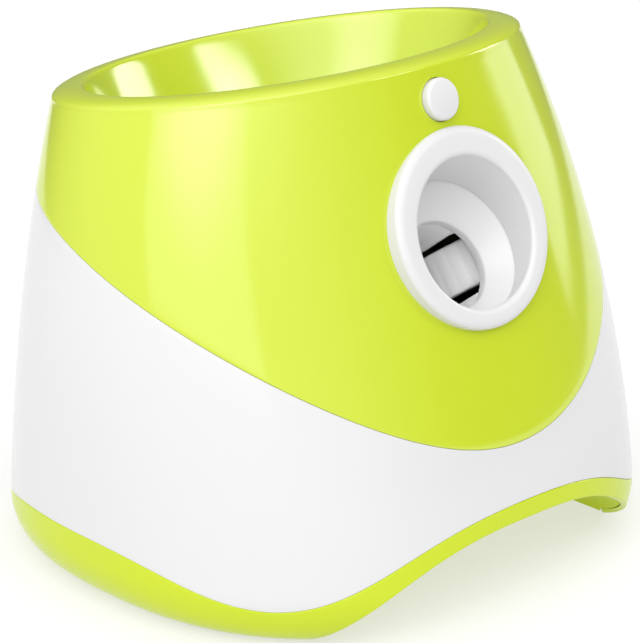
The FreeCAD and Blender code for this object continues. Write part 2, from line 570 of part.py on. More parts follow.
for dy in (-10.2, 10.2):
    s = cyl(V(7.5, ROTOR_Y + dy, 66.0), V(-1, 0, 0), 2.2, 1.4).fuse(cyl(V(7.5, ROTOR_Y + dy, 66.0), V(1, 0, 0), 1.2, 9.0))
    scr.append(s)
    OUT["feed_bracket"] = OUT["feed_bracket"].cut(cyl(V(6, ROTOR_Y + dy, 66.0), V(1, 0, 0), 1.3, 8.0))
    OUT["feed_gearbox"] = OUT["feed_gearbox"].cut(cyl(V(9, ROTOR_Y + dy, 66.0), V(1, 0, 0), 1.2, 8.0))
OUT["feed_screws"] = Part.makeCompound(scr)

# ---------------------------------------------------------------- button, its guide, spring, switch and board
def bl(sh):
    sh = sh.copy()
    sh.Placement = Pl(BTN_C, Rot(V(0, 0, 1), BN)).multiply(sh.Placement)
    return sh


TRAVEL = 1.2
cc = Part.BSplineCurve()
cq = [(BTN_R, BTN_EDGE), (BTN_R - 0.14, BTN_EDGE + 0.45), (BTN_R - 0.62, BTN_EDGE + 0.90), (BTN_R - 1.6, BTN_EDGE + 1.22), (BTN_R - 4.2, BTN_EDGE + 1.58), (0.0, BTN_TOP)]
cc.interpolate(Points=[V(r, 0, z) for r, z in cq], InitialTangent=V(0, 0, 1), FinalTangent=V(-1, 0, 0))
ce = [cc.toShape(), Part.makeLine(V(0, 0, BTN_TOP), V(0, 0, -4.2)), Part.makeLine(V(0, 0, -4.2), V(BTN_R, 0, -4.2)), Part.makeLine(V(BTN_R, 0, -4.2), V(BTN_R, 0, BTN_EDGE))]
cap = Part.Face(Part.Wire(ce)).revolve(V(0, 0, 0), V(0, 0, 1), 360)
cap = cap.fuse(Part.makeCylinder(BTN_R + 1.2, 1.2, V(0, 0, -5.4)))
cap = cap.fuse(Part.makeCylinder(2.4, 4.0, V(0, 0, -8.6)))
cap = cap.cut(Part.makeCylinder(5.6, 1.6, V(0, 0, -5.5)).cut(Part.makeCylinder(2.4, 4, V(0, 0, -6.5))))
put("button_cap", bl(cap))
guide = Part.makeCylinder(12.4, 8.2, V(0, 0, -11.8)).cut(Part.makeCylinder(BTN_R + 1.5, 8.6, V(0, 0, -10.4)))
for a in (-1, 1):
    guide = guide.fuse(Part.makeCylinder(1.6, 1.8, V(a * 7.0, 0, -13.6)))
guide = guide.cut(Part.makeCylinder(BTN_R + 1.5, 3, V(0, 0, -4.4))).cut(Part.makeCylinder(2.9, 10, V(0, 0, -14)))
core_btn = core(WALL + 0.15, 0.70, 0.99, 5)
guide = bl(guide).common(core_btn)
put("button_guide", guide)
pcb = Part.makeBox(18.0, 12.5, 1.4, V(-9, -6.25, -15.0))
put("button_board", bl(pcb))
tact = Part.makeBox(6.0, 6.0, 1.7, V(-3, -3, -13.6)).fuse(Part.makeCylinder(1.6, 2.0, V(0, 0, -12.0)))
put("button_switch", bl(tact))
secs = []
for k in range(4 * 18 + 1):
    a = 2 * pi * k / 18
    c = V(4.0 * cos(a), 4.0 * sin(a), -10.15 + 4.4 * k / (4 * 18.0))
    secs.append(Part.makePolygon([c + V(cos(a), sin(a), 0) * (0.25 * cos(q)) + V(0, 0, 0.25 * sin(q)) for q in [2 * pi * i / 6 for i in range(7)]]))
OUT["button_spring"] = bl(Part.makeLoft(secs, True, True))

# ---------------------------------------------------------------- battery tray, cells and contacts
TX0, TX1, TY0, TY1, TZ0, TZ1 = -52.5, 52.5, 32.4, 111.3, 46.6, 77.0
tray = box(TX0 - 1.8, TX1 + 1.8, TY0 - 1.8, TY1 + 1.8, 40, TZ1 + 1.8).cut(box(TX0, TX1, TY0, TY1, 30, TZ1))
tray = tray.common(base_top)
for k in (1, 2):
    yy = TY0 + (TY1 - TY0) * k / 3
    tray = tray.fuse(box(TX0, TX1, yy - 0.3, yy + 0.3, TZ1 - 9, TZ1))
tray = tray.cut(base)
put("battery_tray", tray)
cells, cont = [], []
RCEL = 12.9
for k in range(3):
    yy = TY0 + (TY1 - TY0) * (k + 0.5) / 3
    zz = TZ1 - 0.3 - RCEL - 1.0
    for j in range(2):
        x0 = -50.2 + j * 50.2
        c = cyl(V(x0 + 0.6, yy, zz), V(1, 0, 0), RCEL, 47.6).fuse(cyl(V(x0 + 48.2, yy, zz), V(1, 0, 0), 3.2, 1.6))
        cells.append(c)
    cont.append(box(-52.3, -51.7, yy - 8, yy + 8, zz - 9, zz + 9))
    cone = Part.makeCone(6.0, 3.2, 2.0, V(-51.7, yy, zz), V(1, 0, 0))
    cont[-1] = cont[-1].fuse(cone)
    cont.append(box(51.2, 51.8, yy - 8, yy + 8, zz - 9, zz + 9))
OUT["battery_cells"] = Part.makeCompound(cells)
OUT["battery_contacts"] = Part.makeCompound(cont)

# ---------------------------------------------------------------- main circuit board on the left wall
pcb = box(-103.8, -102.2, -36, 40, 68, 122)
for y in (-30, 34):
    for z in (74, 116):
        pcb = pcb.cut(cyl(V(-110, y, z), V(1, 0, 0), 1.5, 12))
put("main_board", pcb)
cmp_ = [box(-102.2, -100.6, -8, 6, 88, 102), box(-102.2, -98.0, 14, 24, 76, 82), box(-102.2, -97.6, -26, -10, 110, 117)]
for y, z in ((16, 96), (28, 100), (18, 110)):
    cmp_.append(cyl(V(-102.2, y, z), V(1, 0, 0), 4.0, 9.0))
cmp_.append(cyl(V(-102.2, -20, 84), V(1, 0, 0), 6.0, 7.5).cut(cyl(V(-96.0, -20, 84), V(1, 0, 0), 1.2, 3)))
OUT["board_parts"] = Part.makeCompound(cmp_)
scr = []
for y in (-30, 34):
    for z in (74, 116):
        scr.append(cyl(V(-102.2, y, z), V(1, 0, 0), 2.6, 1.6).fuse(cyl(V(-102.2, y, z), V(-1, 0, 0), 1.1, 9.0)))
OUT["board_screws"] = Part.makeCompound(scr)

# ---------------------------------------------------------------- DC inlet at the back
jw, best = None, 1e9
for i in range(200):
    th = radians(150 + 30 * i / 200.0)
    for j in range(40):
        s = 0.35 + 0.2 * j / 40.0
        p = surf(s, th)
        d = abs(p.x - JX) + abs(p.z - JZ)
        if d < best:
            best, jw = d, p
YJ = jw.y
jack = cyl(V(JX, YJ - 14.0, JZ), V(0, 1, 0), 6.3, 13.4)
jack = jack.fuse(cyl(V(JX, YJ - 6.2, JZ), V(0, -1, 0), 8.6, 2.0))
jack = jack.cut(cyl(V(JX, YJ - 9.5, JZ), V(0, 1, 0), 2.85, 20)).fuse(cyl(V(JX, YJ - 10.0, JZ), V(0, 1, 0), 1.0, 8.5))
for dz in (-2.0, 2.0):
    jack = jack.fuse(box(JX - 1.2, JX + 1.2, YJ - 18.5, YJ - 14.0, JZ + dz - 0.25, JZ + dz + 0.25))
put("dc_inlet", jack)

# ---------------------------------------------------------------- case screws from below
scr = []
for x, y in BOSS:
    s = cyl(V(x, y, FZ + 4.6), V(0, 0, 1), 3.9, 3.4).fuse(cyl(V(x, y, FZ + 7.0), V(0, 0, 1), 1.7, 52))
    s = s.cut(box(x - 2.6, x + 2.6, y - 0.5, y + 0.5, FZ + 4, FZ + 5.8)).cut(box(x - 0.5, x + 0.5, y - 2.6, y + 2.6, FZ + 4, FZ + 5.8))
    scr.append(s)
OUT["case_screws"] = Part.makeCompound(scr)

# ---------------------------------------------------------------- write
lo_, hi_ = [1e9] * 3, [-1e9] * 3
for n, s in OUT.items():
    sols = s.Solids
    vol = sum(q.Volume for q in sols)
    bad = [q for q in sols if not q.isValid() or q.Volume <= 0]
    b = s.BoundBox
    lo_ = [min(a, q) for a, q in zip(lo_, (b.XMin, b.YMin, b.ZMin))]
    hi_ = [max(a, q) for a, q in zip(hi_, (b.XMax, b.YMax, b.ZMax))]
    print("%-24s solids %d vol %.0f %s %s" % (n, len(sols), vol, "BAD" if bad or not sols else "ok", [round(v, 1) for v in (b.XMin, b.XMax, b.YMin, b.YMax, b.ZMin, b.ZMax)]))
    out = sols[0] if len(sols) == 1 else Part.makeCompound(sols)
    out.exportStep("parts/%s.step" % n)
print("bbox", [round(v, 2) for v in lo_], [round(v, 2) for v in hi_])
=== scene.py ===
import bpy
import math
import numpy as np
from mathutils import Matrix, Vector


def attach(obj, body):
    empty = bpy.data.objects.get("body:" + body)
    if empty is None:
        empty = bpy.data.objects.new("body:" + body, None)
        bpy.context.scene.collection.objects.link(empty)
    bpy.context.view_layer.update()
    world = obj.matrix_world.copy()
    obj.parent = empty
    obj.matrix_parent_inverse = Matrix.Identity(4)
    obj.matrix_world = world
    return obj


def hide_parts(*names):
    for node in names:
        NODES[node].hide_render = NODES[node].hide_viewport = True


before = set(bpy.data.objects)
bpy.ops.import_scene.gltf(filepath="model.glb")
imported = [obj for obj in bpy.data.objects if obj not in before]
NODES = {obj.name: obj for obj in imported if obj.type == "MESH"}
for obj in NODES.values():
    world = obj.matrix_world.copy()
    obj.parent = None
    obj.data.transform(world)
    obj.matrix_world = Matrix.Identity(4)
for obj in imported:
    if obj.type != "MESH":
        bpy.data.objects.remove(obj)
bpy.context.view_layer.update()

pi = math.pi

# ------------------------------------------------------------------ body surface, in millimetres, as in the construction
HALF_W, HALF_D, TOP_A, TOP_B = 138.0, 137.21, 115.83, 88.68
BULGE_A, BULGE_A3, BULGE_B, BULGE_B3 = 14.661, -1.582, 1.259, 2.315
HC, TILT, TILT_P, YC1, YCK, YO = 219.80, 9.2359, 1.0937, 23.044, -5.114, -1.72
N0, N1, FRONT_IN, SIDE_OUT, ROUND_W, ROUND_H = 2.3202, 2.0078, 4.412, 0.01682, 19.405, 23.63
BIB = [0.66121, -0.25423, -0.0727, -0.01408, -0.00473, -0.00163]
TRIM = [0.14499, -0.006, 0.03283, 0.00582, 0.04809, -0.01159, 0.00503, -0.00592, -0.00486, 0.00174, -0.00068]
ARCH_H, ARCH_W, ARCH_P, ARCH_Q = 0.1761, 47.5, 2.6191, 1.5726
WALL, SEAM, S_ROLL, S_BOT = 2.6, 0.08, 0.986, 0.0037
ROLL_W, ROLL_WI, ROLL_H, ROLL_END = 13.0, 2.4, 3.9, math.radians(145.0)
THROAT_Y, THROAT_Z, THROAT_R, BOWL_SEAM = 24.0, 134.0, 24.0, 0.44
PITCH = math.radians(37.0)
HOLE = np.array([0, -77.5, 143.8])
RING_C, RING_P0 = np.array([0, -91.81, 164.58]), math.radians(22.17)
RING_RO, RING_RI, RING_P, RING_FW, RING_FH = 44.3, 33.4, 3.5, 4.2, 2.9
RING_DROP, RING_LIP_W, RING_LIP_D = 2.4, 2.6, 2.0
BTN_C, BTN_P0, BTN_R = np.array([0, -71.8, 217.5]), math.radians(19.7), 9.3
BTN_EDGE, BTN_TOP, PLATE_U = 2.5, 4.3, -15.2
RN, RE = np.array([0, -math.cos(RING_P0), math.sin(RING_P0)]), np.array([0, math.sin(RING_P0), math.cos(RING_P0)])
AX_OUT, AX_UP = np.array([0, -math.cos(PITCH), math.sin(PITCH)]), np.array([0, math.sin(PITCH), math.cos(PITCH)])
XA = np.array([1.0, 0, 0])
MM = 0.001


def surf(s, th):
    s, th = np.broadcast_arrays(np.asarray(s, float), np.asarray(th, float))
    s0 = np.maximum(s, 0)
    a = HALF_W + (TOP_A - HALF_W) * s + 4 * BULGE_A * s * (1 - s) + BULGE_A3 * 10 * s * (1 - s) * (1 - 2 * s)
    b = HALF_D + (TOP_B - HALF_D) * s + 4 * BULGE_B * s * (1 - s) + BULGE_B3 * 10 * s * (1 - s) * (1 - 2 * s)
    n = N0 + (N1 - N0) * s
    cu, sv = np.sin(th), -np.cos(th)
    rr = (np.abs(cu) ** n + np.abs(sv) ** n) ** (-1 / n)
    u, v = a * cu * rr, b * sv * rr
    t = math.radians(TILT) * s0 ** TILT_P
    x, y, z = u, YC1 * s + 4 * YCK * s * (1 - s) + v * np.cos(t), HC * s - v * np.sin(t)
    q = np.clip((0.4 - s) / 0.4, 0, 1) ** 2
    y = y + FRONT_IN * q * np.maximum(np.cos(th), 0) ** 2
    x = x * (1 + SIDE_OUT * q)
    zz = np.minimum(HC * s, ROUND_H)
    ins = ROUND_W * (1 - np.sqrt(np.maximum(1 - ((ROUND_H - zz) / ROUND_H) ** 2, 0)))
    k = 1 - ins / np.maximum(np.hypot(x, y), 1)
    return np.stack([x * k, y * k + YO, z], -1)


def unit(v):
    return v / np.maximum(np.linalg.norm(v, axis=-1, keepdims=True), 1e-12)


def normal(s, th):
    h = 1e-3
    return unit(np.cross(surf(s, th + h) - surf(s, th - h), surf(s + h, th) - surf(np.maximum(s - h, 0), th)))


def off(s, th, d):
    return surf(s, th) - normal(s, th) * d


def series(c, th):
    return sum(a * np.cos(k * th) for k, a in enumerate(c))


def s_arch(th):
    t = np.minimum(np.abs(((th + pi) % (2 * pi)) - pi), np.abs((th % (2 * pi)) - pi)) * 180 / pi / ARCH_W
    return np.where(t < 1, ARCH_H * np.maximum(1 - np.minimum(t, 1) ** ARCH_P, 0) ** ARCH_Q, 0.0)


def roll_frame(th):
    t = math.radians(TILT) * S_ROLL ** TILT_P
    m = np.array([0, math.sin(t), math.cos(t)])
    n = normal(S_ROLL, th)
    e = unit(n - m * (n @ m)[:, None])
    return surf(S_ROLL, th) - e * ROLL_W, e, m


def roll(th, phi):
    c, e, m = roll_frame(th)
    w = ROLL_W if math.cos(phi) > 0 else ROLL_WI
    return c + e * (w * math.cos(phi)) + m * (ROLL_H * math.sin(phi))


def roll_under(th, phi):
    c, e, m = roll_frame(th)
    return c + e * (3.0 + (ROLL_W - WALL - 3.0) * math.cos(phi)) + m * ((ROLL_H - WALL) * math.sin(phi))


def bowl(th, h, d=0.0):
    def p(th, h):
        c, eo, m = roll_frame(th)
        e = roll(th, ROLL_END)
        a = np.arctan2(e[:, 0], -(e[:, 1] - THROAT_Y))
        t = np.stack([THROAT_R * np.sin(a), THROAT_Y - THROAT_R * np.cos(a), np.full_like(a, THROAT_Z)], -1)
        dt = m * (ROLL_H * math.cos(ROLL_END)) - eo * (ROLL_WI * math.sin(ROLL_END))
        k = (e[:, 2] - THROAT_Z) / np.hypot(t[:, 0] - e[:, 0], t[:, 1] - e[:, 1]) * (dt[:, 1] * np.cos(a) - dt[:, 0] * np.sin(a)) / np.abs(dt[:, 2])
        g = (k * h + (1 - k) * h ** 3)[:, None]
        return np.concatenate([e[:, :2] + (t - e)[:, :2] * g, (e[:, 2] + (t - e)[:, 2] * h)[:, None]], 1)
    q = p(th, h)
    if d == 0:
        return q
    ds = p(th, min(h + 0.004, 1.0)) - p(th, max(h - 0.004, 0.0))
    dt = p(th + 1e-3, h) - p(th - 1e-3, h)
    n = unit(np.cross(dt, ds))
    r = q - np.array([0, THROAT_Y, 0])
    flip = np.where(np.abs(n[:, 2]) < 0.98, (n[:, :2] * r[:, :2]).sum(1) < 0, n[:, 2] > 0)
    return q + np.where(flip[:, None], -n, n) * d


# ------------------------------------------------------------------ mesh helpers
def mesh_object(name, verts, faces, mat, body, nodes=(), sharp=38.0):
    me = bpy.data.meshes.new(name)
    me.from_pydata((np.asarray(verts) * MM).tolist(), [], faces)
    me.update()
    me.polygons.foreach_set("use_smooth", [True] * len(me.polygons))
    me.set_sharp_from_angle(angle=math.radians(sharp))
    ob = bpy.data.objects.new(name, me)
    bpy.context.scene.collection.objects.link(ob)
    me.materials.append(mat)
    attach(ob, body)
    if nodes:
        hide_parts(*nodes)
    return ob


def rings(name, rows, mat, body, nodes=(), closed=True, sharp=38.0, flip=False):
    """Closed rings of equal length, joined in order; closed also joins the last ring to the first."""
    n = len(rows[0])
    v = np.concatenate(rows)
    f = []
    m = len(rows)
    for i in range(m if closed else m - 1):
        a, b = i * n, ((i + 1) % m) * n
        for j in range(n):
            k = (j + 1) % n
            f.append((a + j, a + k, b + k, b + j) if not flip else (a + j, b + j, b + k, a + k))
    ob = mesh_object(name, v, f, mat, body, nodes, sharp)
    fix_normals(ob)
    return ob


def fix_normals(ob):
    import bmesh
    bm = bmesh.new()
    bm.from_mesh(ob.data)
    bmesh.ops.recalc_face_normals(bm, faces=bm.faces)
    if bm.calc_volume(signed=True) < 0:
        bmesh.ops.reverse_faces(bm, faces=bm.faces)
    bm.to_mesh(ob.data)
    bm.free()


def cutter(name, centre, axis, r, depth, back):
    """A hidden cylinder that a boolean subtracts."""
    axis = unit(np.asarray(axis, float))
    up = np.array([1.0, 0, 0]) if abs(axis[0]) < 0.9 else np.array([0, 1.0, 0])
    e1 = unit(np.cross(axis, up))
    e2 = np.cross(axis, e1)
    n = 128
    a = np.linspace(0, 2 * pi, n, endpoint=False)[:, None]
    ring = (e1 * np.cos(a) + e2 * np.sin(a)) * r
    v = np.concatenate([centre - axis * back + ring, centre + axis * depth + ring])
    f = [(j, (j + 1) % n, n + (j + 1) % n, n + j) for j in range(n)] + [tuple(range(n))[::-1], tuple(range(n, 2 * n))]
    me = bpy.data.meshes.new(name)
    me.from_pydata((v * MM).tolist(), [], f)
    ob = bpy.data.objects.new(name, me)
    bpy.context.scene.collection.objects.link(ob)
    fix_normals(ob)
    return ob


def cut(ob, *cutters):
    """Applies the cuts, so that the piece keeps one plain mesh."""
    for c in cutters:
        m = ob.modifiers.new("cut", "BOOLEAN")
        m.operation, m.solver, m.object = "DIFFERENCE", "EXACT", c
    dg = bpy.context.evaluated_depsgraph_get()
    dg.update()
    me = bpy.data.meshes.new_from_object(ob.evaluated_get(dg))
    ob.modifiers.clear()
    old = ob.data
    ob.data = me
    me.name = old.name + "_cut"
    bpy.data.meshes.remove(old)
    me.polygons.foreach_set("use_smooth", [True] * len(me.polygons))
    me.set_sharp_from_angle(angle=math.radians(38))
    for c in cutters:
        bpy.data.objects.remove(c)


def revolve(name, centre, axis, prof, n, mat, body, nodes=(), sharp=38.0):
    """prof is a closed loop of (radius, height along axis)."""
    axis = unit(np.asarray(axis, float))
    up = np.array([1.0, 0, 0]) if abs(axis[0]) < 0.9 else np.array([0, 1.0, 0])
    e1 = unit(np.cross(up, axis))
    e2 = np.cross(axis, e1)
    a = np.linspace(0, 2 * pi, n, endpoint=False)[:, None]
    rows = [np.asarray(centre) + (e1 * np.cos(a) + e2 * np.sin(a)) * max(r, 1e-4) + axis * h for r, h in prof]
    return rings(name, rows, mat, body, nodes, closed=True, sharp=sharp)


def arc(cx, cy, r, a0, a1, n):
    return [(cx + r * math.cos(math.radians(a0 + (a1 - a0) * k / n)), cy + r * math.sin(math.radians(a0 + (a1 - a0) * k / n))) for k in range(n + 1)]


# ------------------------------------------------------------------ materials
def tex_coord(nt):
    tc = nt.nodes.new("ShaderNodeTexCoord")
    return tc.outputs["Object"]


def plastic(name, color, rough, bump=0.0, bump_scale=900.0, rough_var=0.0, var=0.0, coat=0.0, coat_rough=0.05, ior=1.49, metallic=0.0, sss=0.0, tint=None):
    m = bpy.data.materials.new(name)
    m.use_nodes = True
    nt = m.node_tree
    b = nt.nodes["Principled BSDF"]
    b.inputs["Base Color"].default_value = (*color, 1)
    b.inputs["Roughness"].default_value = rough
    b.inputs["IOR"].default_value = ior
    b.inputs["Metallic"].default_value = metallic
    b.inputs["Coat Weight"].default_value = coat
    b.inputs["Coat Roughness"].default_value = coat_rough
    if sss:
        b.inputs["Subsurface Weight"].default_value = sss
        b.inputs["Subsurface Radius"].default_value = (0.004, 0.004, 0.004)
        b.inputs["Subsurface Scale"].default_value = 1.0
    co = tex_coord(nt)
    if var:
        nz = nt.nodes.new("ShaderNodeTexNoise")
        nz.inputs["Scale"].default_value = 9.0
        nz.inputs["Detail"].default_value = 3.0
        nt.links.new(co, nz.inputs["Vector"])
        cr = nt.nodes.new("ShaderNodeValToRGB")
        k = var
        cr.color_ramp.elements[0].position, cr.color_ramp.elements[1].position = 0.3, 0.7
        cr.color_ramp.elements[0].color = (color[0] * (1 - k), color[1] * (1 - k), color[2] * (1 - k), 1)
        c2 = tint or color
        cr.color_ramp.elements[1].color = (min(c2[0] * (1 + k), 1), min(c2[1] * (1 + k), 1), min(c2[2] * (1 + k), 1), 1)
        nt.links.new(nz.outputs["Fac"], cr.inputs["Fac"])
        nt.links.new(cr.outputs["Color"], b.inputs["Base Color"])
    if rough_var:
        nz = nt.nodes.new("ShaderNodeTexNoise")
        nz.inputs["Scale"].default_value = 60.0
        nz.inputs["Detail"].default_value = 4.0
        nt.links.new(co, nz.inputs["Vector"])
        mr = nt.nodes.new("ShaderNodeMapRange")
        mr.inputs["From Min"].default_value, mr.inputs["From Max"].default_value = 0.3, 0.7
        mr.inputs["To Min"].default_value, mr.inputs["To Max"].default_value = max(rough - rough_var, 0.02), rough + rough_var
        nt.links.new(nz.outputs["Fac"], mr.inputs["Value"])
        nt.links.new(mr.outputs["Result"], b.inputs["Roughness"])
    if bump:
        nz = nt.nodes.new("ShaderNodeTexNoise")
        nz.inputs["Scale"].default_value = bump_scale
        nz.inputs["Detail"].default_value = 2.0
        nt.links.new(co, nz.inputs["Vector"])
        bp = nt.nodes.new("ShaderNodeBump")
        bp.inputs["Strength"].default_value = 1.0
        bp.inputs["Distance"].default_value = bump
        nt.links.new(nz.outputs["Fac"], bp.inputs["Height"])
        nt.links.new(bp.outputs["Normal"], b.inputs["Normal"])
    return m


GREEN = plastic("green_gloss", (0.497, 0.6, 0.012), 0.13, bump=0.000004, bump_scale=700.0, rough_var=0.02, ior=1.85)
GREEN_LOW = plastic("green_trim", (0.497, 0.6, 0.012), 0.2, bump=0.000004, bump_scale=700.0, rough_var=0.02, ior=1.45)
GREEN_IN = plastic("green_inner", (0.497, 0.6, 0.012), 0.5, bump=0.000004, bump_scale=700.0, ior=1.3)
WHITE = plastic("white_gloss", (0.62, 0.62, 0.625), 0.18, bump=0.000004, bump_scale=700.0, rough_var=0.02)
WHITE_SATIN = plastic("white_satin", (0.82, 0.82, 0.82), 0.42, bump=0.00001, bump_scale=1500.0)
BEZEL = plastic("bezel_white", (0.63, 0.63, 0.635), 0.35, bump=0.000005, bump_scale=1500.0, rough_var=0.03)
NOZZLE = plastic("nozzle_white", (0.68, 0.68, 0.685), 0.35, bump=0.000005, bump_scale=1500.0, rough_var=0.03)
PALE = plastic("pale_moulding", (0.94, 0.94, 0.94), 0.45, bump=0.00001, bump_scale=1600.0)
GREY = plastic("grey_moulding", (0.52, 0.53, 0.54), 0.45, bump=0.00001, bump_scale=1600.0)
DARK = plastic("dark_moulding", (0.03, 0.03, 0.032), 0.45, bump=0.00001, bump_scale=1600.0)
FOOT = plastic("foot_rubber", (0.05, 0.05, 0.05), 0.75, bump=0.00003, bump_scale=1200.0)
TREAD = plastic("tread_rubber", (0.97, 0.97, 0.97), 0.38, bump=0.00001, bump_scale=1500.0)
STEEL = plastic("steel", (0.58, 0.58, 0.59), 0.28, rough_var=0.06, metallic=1.0)
MOTOR = plastic("motor_can", (0.6, 0.6, 0.61), 0.34, rough_var=0.08, metallic=1.0)
BRASS = plastic("brass", (0.75, 0.56, 0.25), 0.3, rough_var=0.05, metallic=1.0)
PCB = plastic("board_green", (0.02, 0.20, 0.07), 0.35, var=0.08)
CELL = plastic("cell_can", (0.55, 0.56, 0.6), 0.3, rough_var=0.05, metallic=1.0)

USE = {
    "base_plate": GREEN_IN, "battery_door": GREEN_IN, "rubber_feet": FOOT, "barrel_lower": PALE, "barrel_bridge": PALE,
    "bridge_screws": STEEL, "wheel_hub_left": DARK, "wheel_hub_right": DARK, "wheel_shaft_left": STEEL, "wheel_shaft_right": STEEL,
    "launch_motor_left": MOTOR, "launch_motor_right": MOTOR, "motor_screws": STEEL, "mechanism_leg_left": GREY, "mechanism_leg_right": GREY,
    "feed_chute": GREY, "ball_sensor_emitter": DARK, "ball_sensor_receiver": DARK, "feed_rotor": WHITE_SATIN, "feed_shaft": STEEL,
    "feed_bracket": GREY, "feed_bush": BRASS, "feed_gearbox": DARK, "feed_motor": MOTOR, "feed_screws": STEEL, "button_guide": WHITE_SATIN,
    "button_board": PCB, "button_switch": DARK, "button_spring": STEEL, "battery_tray": GREY, "battery_cells": CELL, "battery_contacts": STEEL,
    "main_board": PCB, "board_parts": DARK, "board_screws": STEEL, "dc_inlet": DARK, "case_screws": STEEL,
}
for n, m in USE.items():
    me = NODES[n].data
    me.materials.clear()
    me.materials.append(m)

# ------------------------------------------------------------------ shells
NT = 480
TH = np.linspace(0, 2 * pi, NT, endpoint=False)
G2 = SEAM / HC / 2


def steep(edge):
    """Cosine of an edge curve's slope on the surface, so that a rounding keeps its radius where the curve runs steeply."""
    p = surf(edge, TH)
    t = unit(np.roll(p, -1, 0) - np.roll(p, 1, 0))
    s = unit(surf(edge + 1e-3, TH) - p)
    return np.sqrt(np.clip(1 - (t * s).sum(1) ** 2, 0.15, 1))


def outer_rows(lo, hi, r_lo, r_hi, n, na=5):
    rows = []
    c0, c1 = steep(lo), steep(hi)
    k0, k1 = r_lo / HC / c0, r_hi / HC / c1
    for i in range(na if r_lo else 0):
        q = pi / 2 * i / na
        rows.append(off(lo + k0 * (1 - math.cos(q)), TH, r_lo * (1 - math.sin(q))))
    for i in range(n + 1):
        rows.append(surf(lo + k0 + (hi - k1 - lo - k0) * i / n, TH))
    for i in range(1, na + 1 if r_hi else 0):
        q = pi / 2 * i / na
        rows.append(off(hi - k1 * (1 - math.sin(q)), TH, r_hi * (1 - math.cos(q))))
    return rows


def inner_rows(lo, hi, n):
    return [off(lo + (hi - lo) * i / n, TH, WALL) for i in range(n + 1)]


bib = series(BIB, TH)
trim = series(TRIM, TH)

rows = outer_rows(bib + G2, np.full(NT, S_ROLL), 0.55, 0.0, 46)[:-1]
rows += [roll(TH, pi / 2 * (k / 16.0) ** 1.15) for k in range(17)]
rows += [roll(TH, pi / 2 + (ROLL_END - pi / 2) * k / 8) for k in range(1, 9)]
HB = [BOWL_SEAM * k / 16 for k in range(1, 17)]
rows += [bowl(TH, h) for h in HB]
rows += [bowl(TH, h, WALL) for h in HB[::-1] + [0.0]]
rows += [roll_under(TH, pi / 2 * k / 8) for k in range(8, -1, -1)]
rows += inner_rows(bib + G2, np.full(NT, S_ROLL), 16)[-2::-1]
upper = rings("upper_shell_skin", rows, GREEN, "case", ["upper_shell"])
cut(upper, cutter("c1", RING_C, RN, 41.3, 20, 13.5), cutter("c2", BTN_C, unit(np.array([0, -math.cos(BTN_P0), math.sin(BTN_P0)])), BTN_R + 0.35, 10, 9))

rows = outer_rows(trim + G2, bib - G2, 0.3, 0.3, 50)
rows += inner_rows(trim + G2, bib - G2, 20)[::-1]
lower = rings("lower_shell_skin", rows, WHITE, "case", ["lower_shell"])
cut(lower, cutter("c3", np.array([48.0, 100, 93.0]), np.array([0, 1.0, 0]), 6.6, 50, 0))

lo_t = np.maximum(S_BOT, s_arch(TH))
rows = outer_rows(lo_t, trim - G2, 0.5, 0.55, 26)
rows += inner_rows(lo_t, trim - G2, 12)[::-1]
rings("base_trim_band", rows, GREEN_LOW, "case", ["base_trim"])

# bowl funnel with its throat tube
hs = [BOWL_SEAM + 0.003 + (1 - BOWL_SEAM - 0.003) * k / 24 for k in range(25)]
rows = [bowl(TH, h) for h in hs]
e = roll(TH, ROLL_END)
ang = np.arctan2(e[:, 0], -(e[:, 1] - THROAT_Y))


def circ_a(r, z):
    return np.stack([r * np.sin(ang), THROAT_Y - r * np.cos(ang), np.full(NT, z)], -1)


rows += [circ_a(THROAT_R, THROAT_Z - 16 + 1), circ_a(THROAT_R + 0.4, THROAT_Z - 16), circ_a(THROAT_R + WALL, THROAT_Z - 16), circ_a(THROAT_R + WALL, THROAT_Z - 3.4), circ_a(THROAT_R + WALL + 3.5, THROAT_Z - 2.4)]
rows += [bowl(TH, h, WALL) for h in hs[-4::-1]]
rings("hopper_funnel_skin", rows, GREEN, "case", ["hopper_funnel"])

# ------------------------------------------------------------------ outlet bezel
NA = 360
AL = np.linspace(0, 2 * pi, NA, endpoint=False)


def ring_on_surface(r):
    """Height along the ring's axis at which radius r meets the body."""
    tx, ty = r * np.cos(AL), r * np.sin(AL)
    s = np.full(NA, 0.71) + ty / 235.0
    th = tx / 118.0
    for _ in range(12):
        p = surf(s, th) - RING_C
        r0, r1 = p @ XA - tx, p @ RE - ty
        h = 1e-4
        ps, pt = (surf(s + h, th) - RING_C - p) / h, (surf(s, th + h) - RING_C - p) / h
        a11, a12, a21, a22 = ps @ XA, pt @ XA, ps @ RE, pt @ RE
        det = a11 * a22 - a12 * a21
        s = s - (a22 * r0 - a12 * r1) / det
        th = th - (-a21 * r0 + a11 * r1) / det
    return (surf(s, th) - RING_C) @ RN


def rrow(r, a):
    c, s = np.cos(AL)[:, None], np.sin(AL)[:, None]
    return RING_C + (XA * c + RE * s) * np.reshape(r, (-1, 1)) + RN * np.reshape(np.broadcast_to(a, (NA,)), (-1, 1))


def lrow(r, t, u):
    c, s = np.cos(AL)[:, None], np.sin(AL)[:, None]
    return HOLE - AX_OUT * t + AX_UP * u + (XA * c + AX_UP * s) * r


a_out, a_in = ring_on_surface(RING_RO), ring_on_surface(41.05)
rows = [rrow(41.05, -9.0), rrow(41.05, a_in), rrow(RING_RO, a_out)]
for k in range(13):
    q = math.radians(7.5 * k)
    rows.append(rrow(RING_RO - RING_FW * (1 - math.cos(q)), RING_P - RING_FH * (1 - math.sin(q))))


def hrow(r, a):
    return rrow(r, a) - RE * RING_DROP


